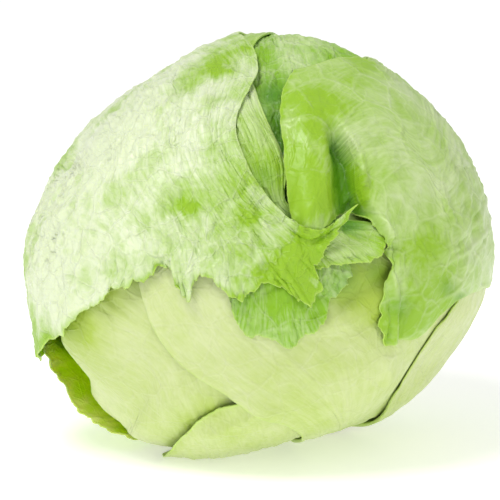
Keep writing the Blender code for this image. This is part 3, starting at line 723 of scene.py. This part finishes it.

# The edge leaf: a thin green leaf round the left side. It stands off the head, so that the inside of its
# margin shows, with a ragged, waved rim.
# its green is lighter than the other leaves': painted light, for the light that comes through the thin blade
# into its shaded inside
edge_finish = leaf_finish(
    "edge_blade_finish", 0.9, 0.3, 110, glow=1.0, pale=WAX_PALE, fresh=(0.50, 0.74, 0.03)
)
edge_blade = grow_leaf(
    "edge_leaf_blade",
    [
        [ring(-60, -6), ring(-100, -7), ring(-140, -9.5)],
        [under(-10, 12, -5), under(-16, 30, -6), under(-6, 48, -9)],
        [under(-25, 2, -2.5), under(-44, 20, -4.5), around(-155, -46, -8)],
        [under(-36, -6, -1), around(-82, -50, -1), around(-104, -38, -3.5), around(-145, -34, -7)],
        [
            front(-46, -68, 0.5), front(-51.5, -65, 1.5), front(-56, -61, 1.5), front(-60, -59, 2.5),
            front(-63.5, -55, 2.5), front(-67, -49, 1.5), front(-71, -42, 1.5), front(-75, -34, 0.5),
            around(-94, -14, -2.5), around(-112, -12, -4), around(-136, -20, -6.5),
        ],
    ],
    across=110, along=70, frill=(12, 1.2, 0.75), teeth=(30, 0.9), rim_green=-0.9, shade_from=99.0, seed=4,
    spots=(
        (-70.6, -39.9, 2.6, -1.0), (-66, -47.7, 2.6, -1.0), (-61.4, -54.5, 2.6, -1.0),
        (-57.2, -59.6, 2.6, -1.0), (-52.5, -62.5, 2.6, -1.0),
    ),
)
fit_leaf(edge_blade, "edge_leaf", edge_finish)

# The bottom leaf: a pale leaf over the left leaf, under the front of the head, with a curled upper margin.
bottom_blade = grow_leaf(
    "bottom_leaf_blade",
    [
        [ring(-20, -4.5), ring(-50, -4.5), ring(-80, -4.5)],
        [under(18, -5, -3.5), under(-3, 2, -2.5), under(-12, 16, -3)],
        [under(18, -28, -2.5), under(-10, -16, 1), under(-22, 4, 0)],
        [front(18, -62, -2.5), front(-6, -66.5, 0.5), front(-19, -71, 2.5), under(-27, -9, 2)],
        [
            front(20, -52, -3), front(2, -54, -2), front(-8.5, -56, -1), front(-15.5, -58.5, -0.5),
            front(-21, -61, 0), front(-26, -65, 1), front(-29.5, -68, 2), front(-34, -74, 2.5),
        ],
    ],
    across=100, along=90, frill=(5, 0.9, 0.85), teeth=(20, 0.6), wrinkle=(0.35, 6, 5), seed=5,
    creases=((front(-22, -66, 0), front(2, -58, 0), 2.5, 1.2),), spots=((-10, -64, 10, 0.3),),
)
fit_leaf(bottom_blade, "bottom_leaf", pale_finish)

# The front leaf: the broad pale leaf that sweeps up from the low right over the left and bottom leaves.
# It is smooth, with fine lines that follow its curve, and its upper half is under the hoods.
front_blade = grow_leaf(
    "front_leaf_blade",
    [
        [ring(-50, -1), ring(-10, -2), ring(25, -3), ring(60, -3)],
        [under(12, -8, -1), under(24, -12, -2), under(40, -8, -3), under(54, 10, -4)],
        [front(15, -67, -1), front(28, -63.5, -1), around(42, -50, -1.5), around(74, -46, -3.5)],
        [front(-4, -57, -1), front(16, -50, -1), front(44, -42, -1.5), around(76, -32, -4)],
        [front(-27.7, -42, -1), front(-4, -32, -1.5), front(34, -28, -1.5), around(76, -18, -4.5)],
        [front(-38, -29, -1.5), front(-18, -14, -2), front(24, -12, -2.5), around(74, -6, -5)],
        [front(-44, -13, -3), front(-36, -2, -3), front(-10, 2, -4), front(24, 3, -5), front(70, 2, -6)],
    ],
    across=150, along=130,
    creases=(
        (front(46, -38, 0), front(48, -48, 0), 3.5, 1.5),
        (front(20, -30, 0), front(55, -15, 0), 3.0, 2.4),
        (front(28, -21, 0), front(50, -10, 0), 3.0, -1.6),
    ),
    frill=(3, 0.3, 0.9), teeth=(20, 0.3), wrinkle=(0.16, 7, 7), pucker=(0.12, 50),
    veins=(9, 1, 0.6), rib=0.3, seed=6,
    # the greener spots high on the right are painted shade under the right hood
    spots=(
        (42, -13, 9, 0.9), (48, -22, 7, 1.0), (29, -12, 10, 0.9), (-34, -22, 12, -0.2), (20, -48, 22, 0.12),
        (36, -25, 6, 0.3),
    ),
    # the shades are painted shade where the leaves above overhang it
    shades=((49, -21, 5, 0.6), (40, -8, 6, 0.45), (28, -10, 8, 0.5)), rim_green=-0.15, shade_from=6.0,
)
fit_leaf(front_blade, "front_leaf", pale_finish)

# The right leaf: a pale wrapper that closes the lower right, with its edge over the front leaf.
right_blade = grow_leaf(
    "right_leaf_blade",
    [
        [ring(30, -5.5), ring(60, -6), ring(95, -6.5)],
        [under(37, 3, -4), under(45, 13, -4.5), under(46, 27, -5.5)],
        [around(61, -47, -2), around(76, -46, -0.5), around(92, -45, -2), around(110, -43, -4)],
        [around(54, -36, -3), around(72, -32, -0.5), around(92, -29, -2), around(114, -28, -4)],
        [around(51, -26, -3.5), around(69, -19, -1.5), around(92, -12, -2), around(118, -12, -4)],
        [around(54, -16, -4), around(64, -7, -4), around(78, 3, -4), around(98, 8, -5), around(120, 4, -5)],
    ],
    across=90, along=80, frill=(4, 0.4, 0.85), teeth=(20, 0.4), wrinkle=(0.25, 7, 4), shade_from=6.0, seed=7,
)
fit_leaf(right_blade, "right_leaf", pale_finish)

# The crown leaf: it comes over the top from the back, runs down under the left hood, and its bright
# ragged tip hangs out below it.
POCKET_DOWN = (-46, -40, -31, -17, -11, 0)
POCKET_LEFT = (22, 23, 24, 25, 26, 27)
POCKET_RIGHT = (25, 29, 34, 37, 41, 47)
crown_finish = leaf_finish(
    "crown_blade_finish", 0.95, 0.45, 70, 0.8, fresh=(0.25, 0.50, 0.010), mottling=0.45
)
crown_blade = grow_leaf(
    "crown_leaf_blade",
    [
        [ring(-150, -7.5), ring(-185, -7.5), ring(140, -7.5)],
        [around(-168, -42, -7), around(172, -40, -7.5), around(152, -38, -7.5)],
        [around(-155, 5, -7), around(180, 8, -7), around(150, 10, -7)],
        [around(-140, 46, -6), around(180, 52, -5), around(140, 50, -6)],
        [around(-95, 66, -3), around(-160, 84, -1.5), around(125, 80, -1.5), around(110, 62, -3)],
        [front(-28, 56, -5), front(-2, 62, -4), front(20, 66, -2), front(52, 54, -5)],
        [front(-24, 34, -7), front(0, 36, -8.5), front(22, 38, -9), front(46, 36, -7)],
        [front(-19, 12, -6), front(6, 13, -8), front(32, 14, -8)],
        [front(-16, 1, -5), front(-4, -11, -3), front(8, -16, -2), front(20, -14, -3), front(32, -2, -5)],
        [
            front(-12.5, -9, -4), front(-10.5, -17.5, -2.5), front(-8, -26, -1.5), front(-4, -31, -1),
            front(3.5, -32, -0.5), front(11, -35.5, 0.5), front(16, -31.5, 0), front(22, -28, 0),
            front(25.6, -19, -1), front(31, -14, -2), front(34, -8, -3),
        ],
    ],
    across=120, along=190,
    frill=(12, 1.3, 0.92), teeth=(26, 1.3), wrinkle=(1.1, 2.6, 1.6), upright=True, seed=8,
    # the paler spot at the top is painted light, the glow of light through the thin leaf
    pockets=((POCKET_DOWN, POCKET_LEFT, POCKET_RIGHT, 2.0),), spots=((4, -20, 22, 0.1), (14, 67, 9, -0.35)),
    # the shades are painted shade, down the deep fold and round the tip
    shades=((5, 52, 6, 0.9), (7, 42, 5, 0.9), (10, 30, 5, 0.8), (30, -14, 7, 0.4), (-6, -17, 5, 0.3)),
    rim_green=0.0,
)
fit_leaf(crown_blade, "crown_leaf", crown_finish)

# The inner hood leaf: it lies in the cleft between the two hoods and ends in a small frilled flap.
inner_blade = grow_leaf(
    "inner_hood_leaf_blade",
    [
        [ring(-170, -5), ring(178, -5), ring(165, -5)],
        [around(-170, -38, -6), around(180, -38, -6), around(170, -38, -6)],
        [around(-168, 15, -5), around(180, 16, -5), around(168, 15, -5)],
        [around(-160, 58, -4), around(178, 60, -3.5), around(165, 60, -4)],
        [front(-30, 62, -3), front(-18, 68, -2), front(-3, 68.5, -2)],
        [front(-22, 50, -4), front(-9, 52, -1.5), front(1, 52, -3.5)],
        [front(-14, 32, -5), front(0, 33, -2.5), front(10, 32, -4.5)],
        [front(-4, 14, -5), front(6, 15, -4), front(12, 15.5, -5)],
        [front(8, 3, -6), front(22, 5, -8.5), front(35, 11, -8.5)],
        [
            front(15, -6, -3), front(21, -7.5, -2.5), front(26, -6.5, -2), front(31, -6, -1.5),
            front(36, -5.5, -1), front(40, -5, -1), front(44, -2, -1), front(46, 2.7, -1.5), front(46, 9, -3),
        ],
    ],
    across=100, along=190,
    creases=(
        (front(-13, 62, 0), front(6, 16, 0), 2.5, -1.2),
        (front(22, -3, 0), front(43, -1, 0), 1.3, 1.3),
        (front(24, 3, 0), front(45, 6, 0), 1.3, 1.3),
    ),
    frill=(8, 0.9, 0.92), teeth=(20, 1.0), wrinkle=(0.6, 4, 3), seed=9,
    # the shade is painted shade in the fold
    spots=((-4, 52, 9, -0.5),), shades=((2, 24, 5, 0.35),),
)
fit_leaf(inner_blade, "inner_hood_leaf", green_finish)

# The right hood: the big green leaf that climbs the right side and folds down over the front. It has a deep
# valley with a rolled edge, and a net of light veins.
hood_finish = leaf_finish("right_hood_finish", 0.66, 0.34, 60, 0.5, streaks=0.25, mottling=0.4)
right_hood_blade = grow_leaf(
    "right_hood_blade",
    [
        [ring(75, -3), ring(98, -3), ring(120, -3), ring(140, -3)],
        [around(112, -48, -2.5), around(130, -45, -2.5), around(150, -42, -3), around(164, -38, -4)],
        [around(104, -22, -1.5), around(122, -12, -1.5), around(145, -5, -2), around(165, 0, -3)],
        [around(94, -11, -1), around(108, 15, -1), around(135, 30, -1.5), around(160, 36, -2.5)],
        [front(76, -17, -1), front(78, 20, -1), around(118, 48, -1.5), around(140, 52, -2)],
        [
            front(69, -22, -1), front(70, -2, -0.5), front(67, 18, -0.5), front(60, 36, -0.5),
            front(48, 55, -0.5), around(102, 62, -1.5),
        ],
        [
            front(58, -32, -0.5), front(62, -8, 0), front(59, 26, 0), front(45, 44, 0), front(35, 56, 0),
            front(34, 66.5, -1),
        ],
        [
            front(51, -33, -0.5), front(54, -18, 0), front(56, 2, 0), front(51, 24, 0.5), front(39, 34, 0.5),
            front(28, 36, 0), front(23, 42, 0.5), front(22, 54, 0.5), front(25, 66, -1),
        ],
        [
            front(48, -34, 0), front(49, -18, 0), front(51, -1, 0), front(43, 21, 0.5), front(30, 22, -1),
            front(20, 19, 1), front(16, 32, 0.5), front(15, 50, 0.5), front(19, 64.5, -1),
        ],
        [
            front(45, -35, 0.5), front(43, -27, 0.5), front(44, -18, 0), front(48, -8, 0), front(46, 1, 0),
            front(43, 7, 0.5), front(38, 14, 0), front(31, 12.5, -1), front(26, 9, 0), front(19, 4, 1),
            front(13, 8, -0.5), front(11, 18, -2.5), front(9.5, 34, -2.5), front(8, 50, -2),
            front(9.5, 58, -2), front(13, 64, -2),
        ],
    ],
    across=170, along=180,
    creases=(
        (front(54, -12, 0), front(46, -33, 0), 3.5, -3.5),
        (front(16, 58, 0), front(18, 8, 0), 4.0, 1.5),
        (front(12, 50, 0), front(15, 8, 0), 1.5, -0.9),
        (front(18, 52, 0), front(19, 8, 0), 1.5, -0.9),
        (front(23, 50, 0), front(23, 8, 0), 1.5, -0.9),
    ),
    pockets=((POCKET_DOWN, POCKET_LEFT, POCKET_RIGHT, 11.0),),
    frill=(10, 0.9, 0.92), teeth=(40, 1.1), wrinkle=(0.6, 4.2, 2.2), pucker=(0.7, 55), veins=(9, 3, 1.3),
    upright=True, seed=10,
    spots=(
        (17, 46, 10, 0.5), (13, 30, 9, 0.5), (14, 15, 8, 0.5), (30, 20, 9, 0.5), (57, -1, 10, 0.35),
        (58, -22, 11, 0.5), (46, -28, 7, 0.4), (36, 62, 8, 0.3),
    ),
    # the shades are painted shade in the valley and in the slits of the torn margin
    shades=((48, -20, 4, 0.4), (70, -18, 2.5, 0.7), (71, -25, 2.0, 0.7), (65, -14, 3, 0.4)),
)
fit_leaf(right_hood_blade, "right_hood", hood_finish)

# The left hood: the outermost pale leaf, over the back, the top and the left side. It is crinkled along its
# length, and its ragged, frilled margin hangs over the front.
left_hood_finish = leaf_finish(
    "left_hood_finish", 0.40, 0.30, 95, 0.8, pale=(0.76, 0.86, 0.55), streaks=0.55, mottling=0.9
)
left_hood_blade = grow_leaf(
    "left_hood_blade",
    [
        [ring(-120, -3), ring(-138, -3), ring(-156, -3), ring(-176, -3), ring(160, -3)],
        [
            around(-112, -56, -2.5), around(-146, -49, -2.5), around(-167, -44, -2.5), around(174, -40, -2),
            around(160, -38, -1),
        ],
        [
            around(-119, -46, -2), around(-140, -19, -1.5), around(-160, -8, -1.5), around(180, -2, -1.5),
            around(162, -2, -0.5),
        ],
        [
            around(-121, -40.5, -1.5), around(-132, 8, -1), around(-150, 28, -1), around(-175, 38, -1),
            around(162, 42, -0.5),
        ],
        [
            around(-118, -38, -1.5), around(-120, 14, -1), around(-116, 45, -1), around(-124, 66, -1),
            around(-160, 78, -1),
        ],
        [
            around(-115, -36.5, -1.5), around(-102, 6, -1), front(-64, 30, -1), front(-48, 47, -0.5),
            front(-31, 57, -0.5), front(-12, 64, -0.5), front(0, 64, -0.5),
        ],
        [
            around(-112, -36, -1.5), around(-94, 0, -0.5), front(-58, 18, 0), front(-38, 30, 0),
            front(-21, 38, 0), front(-8, 43, -0.5),
        ],
        [
            around(-109, -36, -1.5), around(-90, -9, -0.5), front(-60, 3, 0), front(-40, 12, 0),
            front(-23, 15, 0), front(-9, 18, 0.5), front(1.5, 20, 0),
        ],
        [
            around(-106.5, -36.5, -1.5), around(-87, -18, 0), front(-59, -10, 0), front(-41, 0, 0.5),
            front(-25, 0, 0.5), front(-7, -3, 0.5), front(9, 0, 0.5), front(19, 6, 0.5),
        ],
        [
            around(-104, -38, -1.5), around(-99, -35.5, -0.5), around(-94, -32.5, 1), around(-89, -30, 3),
            around(-84, -28.5, 4.5), around(-79.5, -28, 4), front(-71, -32, 1.5), front(-65, -28, 1),
            front(-60, -22, 1), front(-54, -18, 1), front(-51.5, -13.5, 1), front(-47, -14, 1),
            front(-42, -11.5, 0.5), front(-35, -8, 0.5), front(-30, -8, 0.5), front(-27.5, -15, 1),
            front(-24.5, -19.5, 1.5), front(-22, -11, 0.5), front(-17.5, -11, 0.5), front(-11.5, -15, 1),
            front(-5, -19, 1.5), front(-1, -13, 0.5), front(8, -14, 0.5), front(14, -18, 1),
            front(18, -19.5, 1.5), front(21.5, -14, 1), front(20, -7, 1), front(24, -1, 1),
            front(29, 7, 1), front(34, 15, 2),
        ],
    ],
    across=300, along=160,
    creases=(
        (front(-30, 62, 0), front(-20, 12, 0), 4.0, -1.5),
        (front(-40, 58, 0), front(-34, 8, 0), 5.0, 1.2),
        (front(-16, 54, 0), front(-4, 20, 0), 4.0, 1.5),
    ),
    frill=(26, 1.8, 0.88), teeth=(70, 2.2), wrinkle=(1.25, 2.9, 2.8), pucker=(0.8, 80), veins=(9, 3, 1.4),
    rim_green=0.5, upright=True, seed=11,
    spots=(
        (-61, 13, 25, -0.28), (-38, 24, 16, -0.1), (-10, -2, 12, 0.6), (11, -4, 12, 0.6), (1, 11, 8, 0.4),
        (-24, 3, 9, 0.25), (-3, 66, 9, 0.35), (-12, 61, 5, 0.5), (-24, 58, 5, 0.35), (-24, 12, 5, 0.4),
        (-60, -11, 5, 0.4), (-77, -35, 9, 0.9), (24, 6, 9, 0.5), (-4, 54, 4, 0.4), (-44, -6, 9, 0.2),
    ),
)
fit_leaf(left_hood_blade, "left_hood", left_hood_finish)

# The back leaf: the lowest wrapper at the back. It leaves the stem and cups the low back of the head.
back_blade = grow_leaf(
    "back_leaf_blade",
    [
        [ring(-130, 0), ring(-175, 0), ring(160, 0), ring(115, 0)],
        [under(-10, 38, 3.8), under(8, 52, 2), around(155, -44, 0), around(133, -42, 0)],
        [under(-32, 38, 3.6), around(-168, -42, 1.5), around(157, -31, 0), around(135, -32, 0)],
        [around(-132, -38, 1.5), around(-162, -20, 0.5), around(162, -12, 0.5), around(137, -20, 0.5)],
        [
            around(-127, -18, 1), around(-142, -2, 1), around(-162, 6, 1.5), around(180, 10, 1.5),
            around(162, 9, 1.5), around(148, 1, 1), around(138, -8, 1),
        ],
    ],
    across=110, along=80, frill=(8, 0.9, 0.8), teeth=(30, 0.8), seed=12,
)
fit_leaf(back_blade, "back_leaf", pale_finish)

# The floor, the light and the camera: a pale sheet, two wide soft lamps and a white room.
FLOOR_GLOW = 0.36
ROOM_GLOW = 0.62
floor_mesh = bpy.data.meshes.new("floor")
floor_mesh.from_pydata([(-4, -4, 0), (4, -4, 0), (4, 4, 0), (-4, 4, 0)], [], [(0, 1, 2, 3)])
floor = bpy.data.objects.new("floor", floor_mesh)
bpy.context.scene.collection.objects.link(floor)
floor_finish = bpy.data.materials.new("floor_finish")
floor_finish.use_nodes = True
floor_look = floor_finish.node_tree.nodes["Principled BSDF"].inputs
floor_look["Base Color"].default_value = (0.93, 0.93, 0.93, 1)
floor_look["Roughness"].default_value = 0.9
floor_look["Emission Color"].default_value = (1, 1, 1, 1)
floor_look["Emission Strength"].default_value = FLOOR_GLOW
floor_mesh.materials.append(floor_finish)

room = bpy.data.worlds.new("room")
bpy.context.scene.world = room
room.use_nodes = True
room.node_tree.nodes["Background"].inputs["Color"].default_value = (1, 1, 1, 1)
room.node_tree.nodes["Background"].inputs["Strength"].default_value = ROOM_GLOW
for name, place, size, power in (
    ("key_lamp", (-0.5, -0.6, 1.35), 0.6, 11.0),
    ("fill_lamp", (0.9, -0.9, 0.5), 0.9, 1.0),
):
    lamp_data = bpy.data.lights.new(name, "AREA")
    lamp_data.shape = "DISK"
    lamp_data.size = size
    lamp_data.energy = power
    lamp = bpy.data.objects.new(name, lamp_data)
    lamp.location = place
    lamp.rotation_euler = (Vector(CENTRE) - Vector(place)).to_track_quat("-Z", "Y").to_euler()
    bpy.context.scene.collection.objects.link(lamp)

SENSOR = 36
PICTURE_WIDTH = 0.1775
MM_PER_PIXEL = 0.355
PIXELS_LEFT, PIXELS_DOWN = 8, 2.5
camera = bpy.data.objects.new("camera", bpy.data.cameras.new("camera"))
camera.data.sensor_width = SENSOR
camera.data.lens = SENSOR * VIEW_DISTANCE / PICTURE_WIDTH
aside = (ACROSS * PIXELS_LEFT + UP * PIXELS_DOWN) * MM_PER_PIXEL * MM
camera.location = CENTRE - AWAY * VIEW_DISTANCE - aside
camera.rotation_mode = "QUATERNION"
camera.rotation_quaternion = Vector(AWAY).to_track_quat("-Z", "Y")
camera.data.clip_end = 20
bpy.context.scene.collection.objects.link(camera)
bpy.context.scene.camera = camera
bpy.context.scene.view_settings.view_transform = "Standard"
